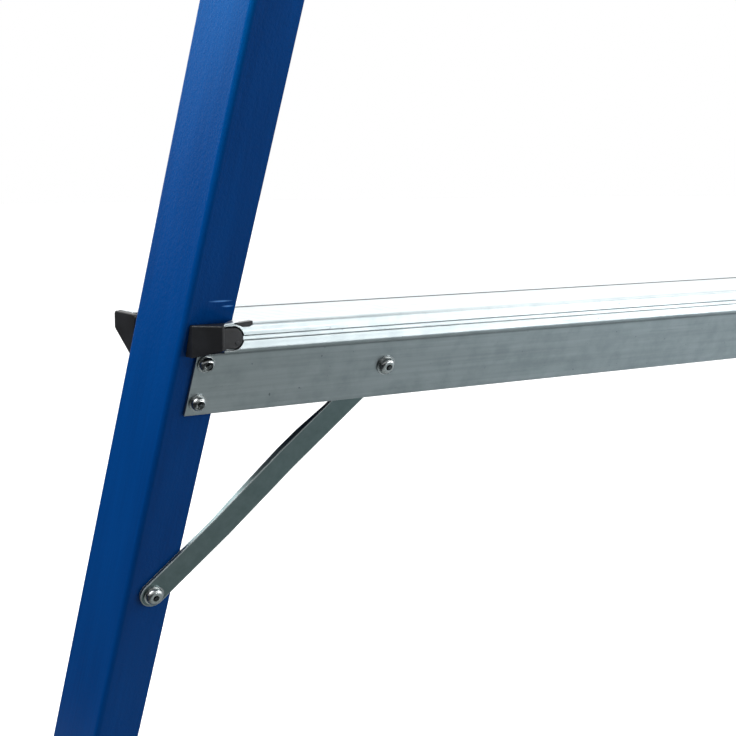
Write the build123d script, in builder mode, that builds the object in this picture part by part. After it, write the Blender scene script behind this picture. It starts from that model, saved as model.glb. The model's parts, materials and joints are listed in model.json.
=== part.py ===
from build123d import *
import os
from math import cos, hypot, radians, sin, tan

os.makedirs("parts", exist_ok=True)

# Folding platform stepladder in millimetres: +Z up, floor at z = 0, X across, climbing side at +Y.
# The left end of the bottom step is the corner that the photo shows.

# Stance of the two sections
APEX_HEIGHT = 1400.0         # hinge axis of the rear section above the floor
FRONT_LEAN = 19.2            # front section from the vertical, degrees
REAR_LEAN = 16.0             # rear section from the vertical, degrees
SPLAY = 4.25                 # each rail leans inwards within its section, degrees
BOTTOM_STEP = 356.0          # top of the bottom tread above the floor
MIDDLE_STEP = 633.0          # top of the middle tread
BOTTOM_WIDTH = 715.0         # over the front rails at the bottom tread

# Fibreglass channel rails
RAIL_DEPTH = 62.0            # front rail, web width
RAIL_FLANGE = 32.0
RAIL_WALL = 4.0
RAIL_CORNER = 3.5
REAR_DEPTH = 45.0            # rear rail, web width
REAR_FLANGE = 25.0
REAR_WALL = 3.5
REAR_CORNER = 3.0
REAR_INSET = 4.0             # rear rails stand this much inside the front rails
REAR_RISE = 24.0             # rear rails end this far above the hinge axis

# Tread extrusion
SHEET = 2.0                  # wall of the tread
NEAR_OVERHANG = 13.4         # bead beyond the rail's near face
NEAR_NOSE = 18.4             # height of that bead
FAR_OVERHANG = 35.5          # nose on the climbing side
FAR_NOSE = 12.0              # height of its front wall
FAR_DROP = 28.6              # where its slanted web meets the far flange
TOP_PLATE = 2.6
RIB_PITCH = 8.0
RIB_GROOVE = 1.4
RIB_DEPTH = 0.4
RIB_EDGE = 12.0              # first groove from the bead's face
FAR_GROOVE = 72.5            # wide groove on the top, from the rail's near face
TREAD_GAP = 1.1              # tread end to the rail's free edge
FLANGE_DROP = 61.8           # flanges reach this far down the slope
LAP_EDGE = 12.7              # flange end from the rail's outer face
LAP_TOP_NEAR = 21.0          # the lap starts below the cap
LAP_TOP_FAR = 31.5
BEAD_CORNER = 2.6
BEAD_GROOVE = 7.8            # groove along the bead's face, below the top
BEAD_GROOVE_WIDTH = 3.4
BEAD_LINE = 1.3              # depth of that groove
GROOVE_EDGE = 0.6
WEDGE_CORNER = 2.5
BEAD_END = 19.5              # bead's front end from the rail's outer face
MITRE_END = 31.5             # its end is cut on the slant to here, at the rail
NOSE_END = 2.0               # far nose's end from the rail's outer face

# End caps
CAP_GAP = 0.1
CAP_PLUG = 22.0
FAR_PLUG = 12.0
CAP_OUT = 1.0                # far cap beyond the rail's outer face
PLUG_FIT = 0.15
CAP_CORNER = 2.4
CAP_ROUND = 1.0              # rounding of the outer end
CAP_TIP = 4.3                # thin outer end of the near cap, from the rail's outer face
CAP_TIP_DEPTH = 2.2
CAP_FLAT = 1.6               # front face between its bevel and the bead
CAP_FRONT = 1.0              # near cap before the bead's face
CAP_TOP = 1.4                # near cap below the tread's top
CAP_BOTTOM = 16.1            # its underside falls from here at the bead
CAP_TIP_BOTTOM = 20.9        # to here at the tip
FAR_CAP_EDGE = 0.4           # the far cap stays inside the nose's outline
TONGUE_TOP = 3.2             # round tongue of the plug in the bead's notch
TONGUE_BOTTOM = 15.5
TONGUE_END = 31.8            # its rounded end from the rail's outer face
TONGUE_OUT = 0.5             # tongue before the bead's face
NOTCH_GAP = 1.2
TONGUE_LINE = 18.6           # groove between cap and tongue
DOT_EDGE = 28.2              # moulded dot, from the outer end
DOT_DROP = 12.4
DOT = 2.4
LATCH_START = 27.3           # snap latch in a slot of the bead's upper edge
LATCH_LENGTH = 11.6
LATCH_RISE = 0.5
LATCH_DROP = 2.7
LATCH_GAP = 0.2
LATCH_ROOT = 1.5             # depth of the latch in the plug

# Knee brace
BRACE_WIDTH = 18.0
BRACE_SHEET = 2.5
BRACE_LOW_EDGE = 18.5        # lower rivet from the rail's outer face
BRACE_LOW_DROP = 191.4       # below the tread, along the slope
BRACE_HIGH_EDGE = 150.9
BRACE_HIGH_DROP = 38.7
BRACE_BEND = (62.0, 122.0)   # the strip passes from the rail's face to behind the flange
BRACE_LIP = (60.0, 164.0)    # turned edges between these stations
LIP_RUNOUT = 24.0
LIP_HEIGHT = 2.0
LIP_SHEET = 1.6

# Fasteners
SHANK = 5.0
HOLE_FIT = 0.05              # radial clearance of every shank
STEP_RIVET_EDGE = 19.7       # from the rail's outer face
STEP_RIVETS_NEAR = (26.8, 53.0)
STEP_RIVETS_FAR = (39.0, 54.0)
STEP_HEAD = 11.4
BRACE_HEAD = 13.6
PLAIN_HEAD = 10.0
DOME = 4.5                   # height of a hollow rivet's head
COLLAR = 0.84                # dome on its collar, share of the radius
COLLAR_HEIGHT = 1.1
STEP_HOLLOW = 0.50           # hole in a tread rivet's head, share of the radius
BRACE_HOLLOW = 0.32          # hole in a brace rivet's head
HOLLOW_FLOOR = 0.4
TAIL = 8.0
TAIL_HEIGHT = 2.0
DRILL = 18.0

# Pivot brackets and pins
PLATE = 4.0
EAR = 14.0                   # radius of an ear round its pin
EAR_CLEAR = 2.0              # ear to the facing base plate
BRACKET_HEIGHT = 60.0
BRACKET_RIVETS = 19.0
PIN = 10.0
PIN_FIT = 0.06
PIN_HEAD = 16.0
PIN_HEAD_HEIGHT = 3.0
SIDE_GAP = 0.5               # between two ears on one pin

# Deck
DECK_TOP = 910.0
DECK_INSET = 79.7            # deck sides inside the rails' outer faces, at the deck's height
DECK_SIDE = 3.0
DECK_FLANGE = 25.0
DECK_EAR = 16.0
DECK_PIVOT_BACK = 20.0       # pivot behind the rails' near face
PLANK_HEIGHT = 16.0
PLANK_WALL = 2.2
PLANK_LIP = 12.0
PLANK_GAP = 1.2
PLANK_RIB = 8.0
PLANKS = ("front", "front_middle", "rear_middle", "rear")
HOOK_GAP = 0.3
HOOK_SIDE_GAP = 0.8
HOOK_DROP = 16.0
HOOK_WIDTH = 9.0
HOOK_SEAT = 22.0             # bar top below the planks

# Rear bars
BAR_HEIGHT = 40.0
BAR_DEPTH = 18.0
BAR_WALL = 2.5
BAR_RIVETS = 10.0
BAR_END = 5.0
LOWER_BAR = 230.0
MIDDLE_BAR = 560.0

# Feet
PAD = 9.0
PAD_GROOVE = 2.5
BOOT_WALL = 4.0
BOOT_FLOOR = 6.0
BOOT_LENGTH = 31.0
BOOT_FIT = 0.15
BOOT_RIVET = 24.5            # rivet above the floor

# Tool tray
TRAY_RISE = 68.0             # tray floor above the hinge axis
TRAY_SIDE = 16.0             # tray beyond the rails on each side
TRAY_DEPTH = 158.0
TRAY_HEIGHT = 46.0
TRAY_WALL = 4.0
TRAY_CORNER = 20.0
TRAY_SHIFT = 8.0             # tray centre in front of the hinge axis
TRAY_PLUG = 30.0
TRAY_PLUG_FIT = 0.3
TRAY_BOLT_DROP = 15.0
TRAY_BOLT_SPREAD = 14.0
TRAY_BOLT = 16.0

SIDES = (("left", -1), ("right", 1))

# Derived stance
HINGE_TO_FRONT = RAIL_DEPTH / 2 + PLATE + EAR + EAR_CLEAR
HINGE_TO_REAR = REAR_DEPTH / 2 + PLATE + EAR + EAR_CLEAR
lean = radians(FRONT_LEAN)
rear_lean = radians(REAR_LEAN)
splay = radians(SPLAY)
REAR_RAIL_TOP = APEX_HEIGHT + REAR_RISE
TRAY_FLOOR = APEX_HEIGHT + TRAY_RISE
front_reach = (HINGE_TO_FRONT + RAIL_DEPTH / 2 + BOOT_WALL) / cos(lean) + APEX_HEIGHT * tan(lean)
rear_reach = (HINGE_TO_REAR + REAR_DEPTH / 2 + BOOT_WALL) / cos(rear_lean) + APEX_HEIGHT * tan(rear_lean)
APEX_Y = (rear_reach - front_reach) / 2


class Section:
    """A leaning pair of rails. Local x runs across, y up the slope from the hinge, z to the rear."""

    def __init__(self, plane, depth, flange, wall, corner):
        self.plane = plane
        self.depth = depth
        self.flange = flange
        self.wall = wall
        self.corner = corner
        self.apex_half = 0.0

    def half(self, y):
        """Half width over the rails at a slope station."""
        return self.apex_half - y * tan(splay)

    def station(self, height, z=0.0):
        """Slope station where the parallel plane at z stands at a height above the floor."""
        rise = height - self.plane.origin.Z - z * self.plane.z_dir.Z
        return rise / self.plane.y_dir.Z

    def point(self, x, y, z=0.0):
        """World point of local coordinates."""
        return self.plane.from_local_coords((x, y, z))

    def face(self, x, y, z, facing=1):
        """Plane on a face of the section, its z axis pointing out of that face."""
        return Plane(origin=self.point(x, y, z), x_dir=(1, 0, 0), z_dir=self.plane.z_dir * facing)

    def inward(self, side):
        """Direction from a rail's web towards its free edges."""
        return self.plane.x_dir * (-side * cos(splay)) - self.plane.y_dir * sin(splay)

    def rail(self, side, y):
        """Plane square to a rail: origin on the web's outer face, x inwards, z up the rail."""
        up = self.plane.x_dir * (-side * sin(splay)) + self.plane.y_dir * cos(splay)
        return Plane(origin=self.point(side * self.half(y), y), x_dir=self.inward(side), z_dir=up)

    def web(self, side, y, z=0.0, out=0.0):
        """Plane on a rail's web, z outwards, raised by a thickness."""
        outward = self.inward(side) * -1
        origin = self.point(side * self.half(y), y, z) + outward * out
        return Plane(origin=origin, x_dir=self.plane.z_dir, z_dir=outward)

    def across(self, x, y, z):
        """Plane square to X: its x runs up the slope, its y to the rear."""
        return Plane(origin=self.point(x, y, z), x_dir=self.plane.y_dir, z_dir=(1, 0, 0))


front_origin = (0, APEX_Y + HINGE_TO_FRONT * cos(lean), APEX_HEIGHT + HINGE_TO_FRONT * sin(lean))
front_plane = Plane(origin=front_origin, x_dir=(1, 0, 0), z_dir=(0, -cos(lean), -sin(lean)))
FRONT = Section(front_plane, RAIL_DEPTH, RAIL_FLANGE, RAIL_WALL, RAIL_CORNER)
rear_origin = (0, APEX_Y - HINGE_TO_REAR * cos(rear_lean), APEX_HEIGHT + HINGE_TO_REAR * sin(rear_lean))
rear_plane = Plane(origin=rear_origin, x_dir=(1, 0, 0), z_dir=(0, -cos(rear_lean), sin(rear_lean)))
REAR = Section(rear_plane, REAR_DEPTH, REAR_FLANGE, REAR_WALL, REAR_CORNER)

NEAR_FACE = RAIL_DEPTH / 2
FAR_FACE = -RAIL_DEPTH / 2
REAR_FRONT_FACE = -REAR_DEPTH / 2
REAR_BACK_FACE = REAR_DEPTH / 2
FRONT.apex_half = BOTTOM_WIDTH / 2 + FRONT.station(BOTTOM_STEP, NEAR_FACE) * tan(splay)
REAR.apex_half = FRONT.apex_half - REAR_INSET
DECK_HALF = FRONT.half(FRONT.station(DECK_TOP)) - DECK_INSET


def finish(builder, label):
    """Name one node and write its file."""
    builder.part.label = label
    export_step(builder.part, f"parts/{label}.step")


def inset(points, distance):
    """Corners of a convex anticlockwise outline moved inwards."""
    moved = []
    count = len(points)
    for index in range(count):
        here = points[index]
        normals = []
        for start, end in ((points[index - 1], here), (here, points[(index + 1) % count])):
            length = hypot(end[0] - start[0], end[1] - start[1])
            normals.append((-(end[1] - start[1]) / length, (end[0] - start[0]) / length))
        (ax, ay), (bx, by) = normals
        scale = distance / (1 + ax * bx + ay * by)
        moved.append((here[0] + (ax + bx) * scale, here[1] + (ay + by) * scale))
    return moved


def rivet(head, grip, hollow):
    """Hollow domed rivet: stepped head above z = 0, shank through the grip, formed tail below."""
    radius = head / 2
    hole = hollow * radius
    shoulder = COLLAR * radius
    with BuildPart() as one:
        with BuildSketch(Plane.XZ):
            with BuildLine():
                Polyline((0, HOLLOW_FLOOR), (hole, HOLLOW_FLOOR), (hole, DOME))
                ThreePointArc((hole, DOME), (0.92 * shoulder, 0.75 * DOME), (shoulder, COLLAR_HEIGHT))
                Polyline((shoulder, COLLAR_HEIGHT), (radius, COLLAR_HEIGHT), (radius, 0), (SHANK / 2, 0),
                         (SHANK / 2, -grip), (TAIL / 2, -grip), (TAIL / 2, -grip - TAIL_HEIGHT),
                         (0, -grip - TAIL_HEIGHT), (0, HOLLOW_FLOOR))
            make_face()
        revolve(axis=Axis.Z)
    return one.part


def plain_rivet(head, grip):
    """Rivet with a plain low head."""
    with BuildPart() as one:
        with BuildSketch(Plane.XZ):
            with BuildLine():
                Polyline((0, 2.6), (0.30 * head, 2.6), (0.5 * head, 0), (SHANK / 2, 0), (SHANK / 2, -grip),
                         (TAIL / 2, -grip), (TAIL / 2, -grip - TAIL_HEIGHT), (0, -grip - TAIL_HEIGHT),
                         (0, 2.6))
            make_face()
        revolve(axis=Axis.Z)
    return one.part


def write_group(label, pieces):
    """One node of separate fasteners: pieces are (solid, planes) pairs."""
    with BuildPart() as group:
        for solid, planes in pieces:
            with Locations(*[plane.location for plane in planes]):
                add(solid)
    finish(group, label)


# Places of the fasteners that pass through the rails
step_near = {}
step_far = {}
brace_low = {}
brace_high = {}
boot_planes = {}
for step, height in (("bottom", BOTTOM_STEP), ("middle", MIDDLE_STEP)):
    near_top = FRONT.station(height, NEAR_FACE)
    far_top = FRONT.station(height, FAR_FACE)
    for side_name, side in SIDES:
        step_near[step, side] = [
            FRONT.face(side * (FRONT.half(near_top - drop) - STEP_RIVET_EDGE), near_top - drop,
                       NEAR_FACE + SHEET)
            for drop in STEP_RIVETS_NEAR]
        step_far[step, side] = [
            FRONT.face(side * (FRONT.half(far_top - drop) - STEP_RIVET_EDGE), far_top - drop,
                       FAR_FACE - SHEET, -1)
            for drop in STEP_RIVETS_FAR]

step_station = FRONT.station(BOTTOM_STEP, NEAR_FACE)
low_station = step_station - BRACE_LOW_DROP
high_station = step_station - BRACE_HIGH_DROP
low_x = FRONT.half(low_station) - BRACE_LOW_EDGE
high_x = FRONT.half(step_station) - BRACE_HIGH_EDGE
for side_name, side in SIDES:
    brace_low[side] = [FRONT.face(side * low_x, low_station, NEAR_FACE + BRACE_SHEET)]
    brace_high[side] = [FRONT.face(side * high_x, high_station, NEAR_FACE + SHEET)]

pivot_z = NEAR_FACE + DECK_PIVOT_BACK
deck_flange_top = DECK_TOP - PLANK_HEIGHT
pivot_height = deck_flange_top - DECK_EAR
pivot_station = FRONT.station(pivot_height, pivot_z)


def bracket_planes(section, side, y, face, facing):
    """Rivet planes of one bracket on the middle of a rail's flange."""
    planes = []
    for shift in (-BRACKET_RIVETS, BRACKET_RIVETS):
        x = side * (section.half(y + shift) - section.flange / 2)
        planes.append(section.face(x, y + shift, face + facing * PLATE, facing))
    return planes


def bar_planes(side, y):
    """Rivet planes of one bar end, on the web of the bar."""
    planes = []
    for shift in (-BAR_RIVETS, BAR_RIVETS):
        x = side * (REAR.half(y + shift) - REAR_FLANGE / 2)
        planes.append(REAR.face(x, y + shift, REAR_BACK_FACE + BAR_WALL))
    return planes


bar_top = REAR.station(deck_flange_top - HOOK_SEAT, REAR_BACK_FACE)
BARS = (("rear_bar_lower", REAR.station(LOWER_BAR, REAR_BACK_FACE)),
        ("rear_bar_middle", REAR.station(MIDDLE_BAR, REAR_BACK_FACE)),
        ("deck_support_bar", bar_top - BAR_HEIGHT / 2))

tray_station = FRONT.station(TRAY_FLOOR)
tray_width = 2 * (FRONT.half(tray_station) + TRAY_SIDE)
rail_holes = {}
tray_planes = {}
for side_name, side in SIDES:
    boot_planes["front", side] = [FRONT.web(side, FRONT.station(BOOT_RIVET), 0, BOOT_WALL)]
    boot_planes["rear", side] = [REAR.web(side, REAR.station(BOOT_RIVET), 0, BOOT_WALL)]
    tray_planes[side] = [FRONT.web(side, tray_station - TRAY_BOLT_DROP, shift)
                         for shift in (-TRAY_BOLT_SPREAD, TRAY_BOLT_SPREAD)]
    rail_holes["front", side] = (
        step_near["bottom", side] + step_near["middle", side] + step_far["bottom", side]
        + step_far["middle", side] + brace_low[side] + boot_planes["front", side] + tray_planes[side]
        + bracket_planes(FRONT, side, 0, NEAR_FACE, 1)
        + bracket_planes(FRONT, side, pivot_station, NEAR_FACE, 1))
    rail_holes["rear", side] = (
        boot_planes["rear", side] + bracket_planes(REAR, side, 0, REAR_FRONT_FACE, -1)
        + [plane for bar, y in BARS for plane in bar_planes(side, y)])


def drill(planes):
    """Clearance holes for shanks, in the part being built."""
    with Locations(*[plane.location for plane in planes]):
        Cylinder(SHANK / 2 + HOLE_FIT, DRILL, mode=Mode.SUBTRACT)


# Rails, boots and pads
for name, section, rail_top in (("front", FRONT, TRAY_FLOOR), ("rear", REAR, REAR_RAIL_TOP)):
    foot_station = section.station(-60.0)
    for side_name, side in SIDES:
        base = section.rail(side, foot_station)
        wall = section.wall
        with BuildPart() as rail:
            with BuildSketch(base) as channel:
                Rectangle(section.flange, section.depth, align=(Align.MIN, Align.CENTER))
                with Locations((wall, 0)):
                    Rectangle(section.flange, section.depth - 2 * wall, align=(Align.MIN, Align.CENTER),
                              mode=Mode.SUBTRACT)
                corners = channel.vertices().group_by(Axis.X)
                fillet(corners[0], section.corner)
                fillet(corners[-1], 1.2)
            extrude(amount=(rail_top + 260.0) / cos(lean))
            split(bisect_by=Plane.XY.offset(PAD + BOOT_FLOOR), keep=Keep.TOP)
            split(bisect_by=Plane.XY.offset(rail_top), keep=Keep.BOTTOM)
            drill(rail_holes[name, side])
        finish(rail, f"{name}_rail_{side_name}")

        with BuildPart() as pocket:
            with BuildSketch(base):
                with Locations((-BOOT_FIT, 0)):
                    Rectangle(section.flange + 2 * BOOT_FIT, section.depth + 2 * BOOT_FIT,
                              align=(Align.MIN, Align.CENTER))
            extrude(amount=400.0)
            split(bisect_by=Plane.XY.offset(PAD + BOOT_FLOOR), keep=Keep.TOP)
        outer_flange = section.flange + 2 * BOOT_WALL
        outer_depth = section.depth + 2 * BOOT_WALL
        outer_shift = section.flange / 2
        with BuildPart() as boot:
            with BuildSketch(base):
                with Locations((outer_shift, 0)):
                    RectangleRounded(outer_flange, outer_depth, 5.0)
            extrude(amount=(60.0 + BOOT_LENGTH) / cos(lean))
            split(bisect_by=Plane.XY.offset(PAD), keep=Keep.TOP)
            add(pocket.part, mode=Mode.SUBTRACT)
            drill(boot_planes[name, side])
        finish(boot, f"{name}_foot_{side_name}")

        with BuildPart() as pad:
            with BuildSketch(base):
                with Locations((outer_shift, 0)):
                    RectangleRounded(outer_flange, outer_depth, 5.0)
            extrude(amount=120.0)
            split(bisect_by=Plane.XY, keep=Keep.TOP)
            split(bisect_by=Plane.XY.offset(PAD), keep=Keep.BOTTOM)
            middle = section.rail(side, section.station(0.0)).origin
            with Locations((middle.X, middle.Y, 0)):
                with GridLocations(0, outer_depth / 5, 1, 4):
                    Box(4 * outer_flange, 3.0, 2 * PAD_GROOVE, mode=Mode.SUBTRACT)
        finish(pad, f"{name}_pad_{side_name}")
    boot_rivet = plain_rivet(PLAIN_HEAD, BOOT_WALL + section.wall)
    write_group(f"{name}_foot_rivets",
                [(boot_rivet, boot_planes[name, -1] + boot_planes[name, 1])])

# Steps: tread, end caps, rivets
face_depth = RAIL_DEPTH / cos(lean)
slope = tan(lean)
bead_core = [(-NEAR_OVERHANG + BEAD_LINE, 0), (-NEAR_OVERHANG + BEAD_LINE, -NEAR_NOSE),
             (NEAR_NOSE * slope, -NEAR_NOSE), (0, 0)]
tongue_radius = (TONGUE_BOTTOM - TONGUE_TOP) / 2
tongue_middle = -(TONGUE_TOP + TONGUE_BOTTOM) / 2
latch = [(0, -LATCH_RISE), (0.4 * LATCH_LENGTH, -LATCH_DROP), (0.8 * LATCH_LENGTH, -LATCH_DROP),
         (LATCH_LENGTH, -0.6 * LATCH_DROP), (LATCH_LENGTH, LATCH_RISE)]
wedge = [(face_depth, 0), (face_depth + FAR_DROP * slope, -FAR_DROP),
         (face_depth + FAR_OVERHANG, -FAR_NOSE), (face_depth + FAR_OVERHANG, 0)]


def lap_outline(top, lap_top, tread_half):
    """Flange outline: the ends lap the rails and run parallel to them."""
    low = top - FLANGE_DROP
    lap = top - lap_top
    right = [(FRONT.half(low) - LAP_EDGE, low), (FRONT.half(lap) - LAP_EDGE, lap), (tread_half, lap),
             (tread_half, top - 1.0)]
    return right + [(-x, y) for x, y in reversed(right)]


for step, height in (("bottom", BOTTOM_STEP), ("middle", MIDDLE_STEP)):
    near_top = FRONT.station(height, NEAR_FACE)
    far_top = FRONT.station(height, FAR_FACE)
    outer = FRONT.half(near_top)
    tread_half = outer - RAIL_FLANGE / cos(splay) - TREAD_GAP
    near_y = FRONT.point(0, near_top, NEAR_FACE).Y
    profile = Plane(origin=(0, near_y, height), x_dir=(0, 1, 0), z_dir=(1, 0, 0))
    front_view = Plane(origin=(0, near_y - NEAR_OVERHANG, height), x_dir=(1, 0, 0), z_dir=(0, -1, 0))
    bead_x = outer - BEAD_END
    mitre_x = outer - MITRE_END
    line_x = outer - TONGUE_LINE
    latch_x = outer - LATCH_START
    round_x = outer - TONGUE_END + tongue_radius
    holes = []
    for side_name, side in SIDES:
        holes += step_near[step, side] + step_far[step, side]
        if step == "bottom":
            holes += brace_high[side]

    with BuildPart() as tread:
        with BuildSketch(profile) as bead:
            with BuildLine():
                groove_low = -BEAD_GROOVE - BEAD_GROOVE_WIDTH
                Polyline((-NEAR_OVERHANG, 0), (-NEAR_OVERHANG, -BEAD_GROOVE),
                         (-NEAR_OVERHANG + BEAD_LINE, -BEAD_GROOVE - GROOVE_EDGE),
                         (-NEAR_OVERHANG + BEAD_LINE, groove_low + GROOVE_EDGE), (-NEAR_OVERHANG, groove_low),
                         (-NEAR_OVERHANG, -NEAR_NOSE), bead_core[2], bead_core[3], close=True)
            make_face()
            bead_front = bead.vertices().group_by(Axis.X)[0].sort_by(Axis.Y)
            fillet((bead_front[0], bead_front[-1]), BEAD_CORNER)
            with BuildLine():
                FilletPolyline(*inset(bead_core, SHEET), radius=SHEET / 2, close=True)
            make_face(mode=Mode.SUBTRACT)
        extrude(amount=bead_x, both=True)
        with BuildSketch(Plane.XY.offset(height - 2 * NEAR_NOSE)):
            for side_name, side in SIDES:
                with BuildLine():
                    Polyline((side * bead_x, near_y - 2 * NEAR_OVERHANG),
                             (side * bead_x, near_y - NEAR_OVERHANG), (side * mitre_x, near_y),
                             (side * mitre_x, near_y + NEAR_NOSE), (side * outer, near_y + NEAR_NOSE),
                             (side * outer, near_y - 2 * NEAR_OVERHANG), close=True)
                make_face()
        extrude(amount=4 * NEAR_NOSE, mode=Mode.SUBTRACT)
        with BuildSketch(front_view.offset(CAP_FRONT)):
            for side_name, side in SIDES:
                with Locations((side * round_x, tongue_middle)):
                    Circle(tongue_radius + NOTCH_GAP)
                with Locations((side * (round_x + line_x) / 2, tongue_middle)):
                    Rectangle(line_x - round_x, 2 * (tongue_radius + NOTCH_GAP))
        extrude(amount=-CAP_FRONT - BEAD_LINE - SHEET - LATCH_GAP, mode=Mode.SUBTRACT)
        with BuildSketch(front_view.offset(CAP_FRONT)):
            for side_name, side in SIDES:
                with BuildLine():
                    Polyline(*[(side * (latch_x - x), y) for x, y in inset(latch, -LATCH_GAP)], close=True)
                make_face()
        extrude(amount=-CAP_FRONT - BEAD_LINE - SHEET - LATCH_ROOT - LATCH_GAP, mode=Mode.SUBTRACT)
        with BuildSketch(profile):
            with BuildLine():
                FilletPolyline(*wedge, radius=WEDGE_CORNER, close=True)
            make_face()
            with BuildLine():
                FilletPolyline(*inset(wedge, SHEET), radius=SHEET / 2, close=True)
            make_face(mode=Mode.SUBTRACT)
        extrude(amount=outer - NOSE_END, both=True)
        with BuildSketch(profile):
            with Locations((-SHEET / 2, 0)):
                Rectangle(face_depth + SHEET, TOP_PLATE, align=(Align.MIN, Align.MAX))
        extrude(amount=tread_half, both=True)
        with BuildSketch(profile):
            rib_room = NEAR_OVERHANG + face_depth + FAR_OVERHANG - 2 * RIB_EDGE
            ribs = [-NEAR_OVERHANG + RIB_EDGE + RIB_PITCH * index
                    for index in range(int(rib_room / RIB_PITCH) + 1)]
            with Locations(*[(rib, 0) for rib in ribs if abs(rib - FAR_GROOVE) > RIB_PITCH / 2]):
                Rectangle(RIB_GROOVE, 2 * RIB_DEPTH)
            with Locations((FAR_GROOVE, 0)):
                Rectangle(1.5 * RIB_GROOVE, 4 * RIB_DEPTH)
        extrude(amount=outer, both=True, mode=Mode.SUBTRACT)
        with BuildSketch(FRONT.plane.offset(NEAR_FACE)):
            with BuildLine():
                Polyline(*lap_outline(near_top, LAP_TOP_NEAR, tread_half), close=True)
            make_face()
        extrude(amount=SHEET)
        with BuildSketch(FRONT.plane.offset(FAR_FACE)):
            with BuildLine():
                Polyline(*lap_outline(far_top, LAP_TOP_FAR, tread_half), close=True)
            make_face()
        extrude(amount=-SHEET)
        drill(holes)
    finish(tread, f"{step}_step_tread")

    step_grip = SHEET + RAIL_WALL
    step_planes = []
    for side_name, side in SIDES:
        step_planes += step_near[step, side] + step_far[step, side]
    write_group(f"{step}_step_rivets", [(rivet(STEP_HEAD, step_grip, STEP_HOLLOW), step_planes)])

    for side_name, side in SIDES:
        front_y = near_y - NEAR_OVERHANG - CAP_FRONT
        tip_x = outer - CAP_TIP
        gap_x = bead_x + CAP_GAP
        with BuildPart() as cap:
            with BuildSketch(front_view.offset(CAP_FRONT)):
                with BuildLine():
                    Polyline((side * tip_x, -CAP_TOP), (side * tip_x, -CAP_TIP_BOTTOM),
                             (side * gap_x, -CAP_BOTTOM), (side * mitre_x, -CAP_BOTTOM),
                             (side * mitre_x, -CAP_TOP), close=True)
                make_face()
            extrude(amount=-CAP_FRONT - NEAR_OVERHANG - NEAR_NOSE)
            with BuildSketch(Plane.XY.offset(height - 2 * NEAR_NOSE)) as plan:
                with BuildLine():
                    Polyline((side * tip_x, near_y + NEAR_NOSE), (side * tip_x, near_y - CAP_TIP_DEPTH),
                             (side * (gap_x + CAP_FLAT), front_y), (side * gap_x, front_y),
                             (side * gap_x, near_y - NEAR_OVERHANG), (side * (mitre_x + CAP_GAP), near_y),
                             (side * (mitre_x + CAP_GAP), near_y + NEAR_NOSE), close=True)
                make_face()
                corners = plan.vertices().sort_by(Axis.Y)
                bevel = max(corners[:2], key=lambda corner: side * corner.X)
                fillet((bevel, corners[3]), CAP_ROUND)
            extrude(amount=4 * NEAR_NOSE, mode=Mode.INTERSECT)
            split(bisect_by=FRONT.plane.offset(NEAR_FACE + CAP_GAP), keep=Keep.TOP)
            rim = cap.faces().sort_by(Axis.Z)[-1].edges()
            fillet([edge for edge in rim if side * edge.center().X > gap_x + CAP_GAP
                    and edge.center().Y < near_y - CAP_GAP - CAP_TOP], CAP_ROUND)
            with BuildSketch(profile.offset(side * (bead_x + 2 * CAP_GAP))):
                with BuildLine():
                    FilletPolyline(*inset(bead_core, SHEET + PLUG_FIT), radius=SHEET / 2, close=True)
                make_face()
            extrude(amount=-side * (CAP_PLUG + 2 * CAP_GAP))
            with BuildSketch(front_view.offset(TONGUE_OUT)):
                with Locations((side * round_x, tongue_middle)):
                    Circle(tongue_radius)
                with Locations((side * (round_x + line_x) / 2, tongue_middle)):
                    Rectangle(line_x - round_x, 2 * tongue_radius)
            extrude(amount=-TONGUE_OUT - BEAD_LINE - SHEET - 2 * PLUG_FIT)
            with BuildSketch(front_view.offset(-LATCH_GAP)):
                with BuildLine():
                    Polyline(*[(side * (latch_x - x), y) for x, y in latch], close=True)
                make_face()
            extrude(amount=LATCH_GAP - BEAD_LINE - SHEET - LATCH_ROOT)
            with Locations(front_view.offset(TONGUE_OUT) * Location((side * (outer - DOT_EDGE), -DOT_DROP))):
                Cylinder(DOT / 2, CAP_FRONT)
        finish(cap, f"{step}_step_rear_cap_{side_name}")

        nose_x = outer - NOSE_END
        cap_outline = inset(wedge, FAR_CAP_EDGE)
        with BuildPart() as cap:
            with BuildSketch(profile.offset(side * (nose_x + CAP_GAP))):
                with BuildLine():
                    FilletPolyline(*cap_outline, radius=CAP_CORNER, close=True)
                make_face()
            extrude(amount=side * (NOSE_END + CAP_OUT - CAP_GAP))
            fillet(cap.faces().sort_by(Axis.X)[-1 if side > 0 else 0].edges(), CAP_ROUND)
            with BuildSketch(profile.offset(side * (nose_x + 2 * CAP_GAP))):
                with BuildLine():
                    FilletPolyline(*inset(wedge, SHEET + PLUG_FIT), radius=SHEET / 2, close=True)
                make_face()
            extrude(amount=-side * (FAR_PLUG + 2 * CAP_GAP))
        finish(cap, f"{step}_step_front_cap_{side_name}")

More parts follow.
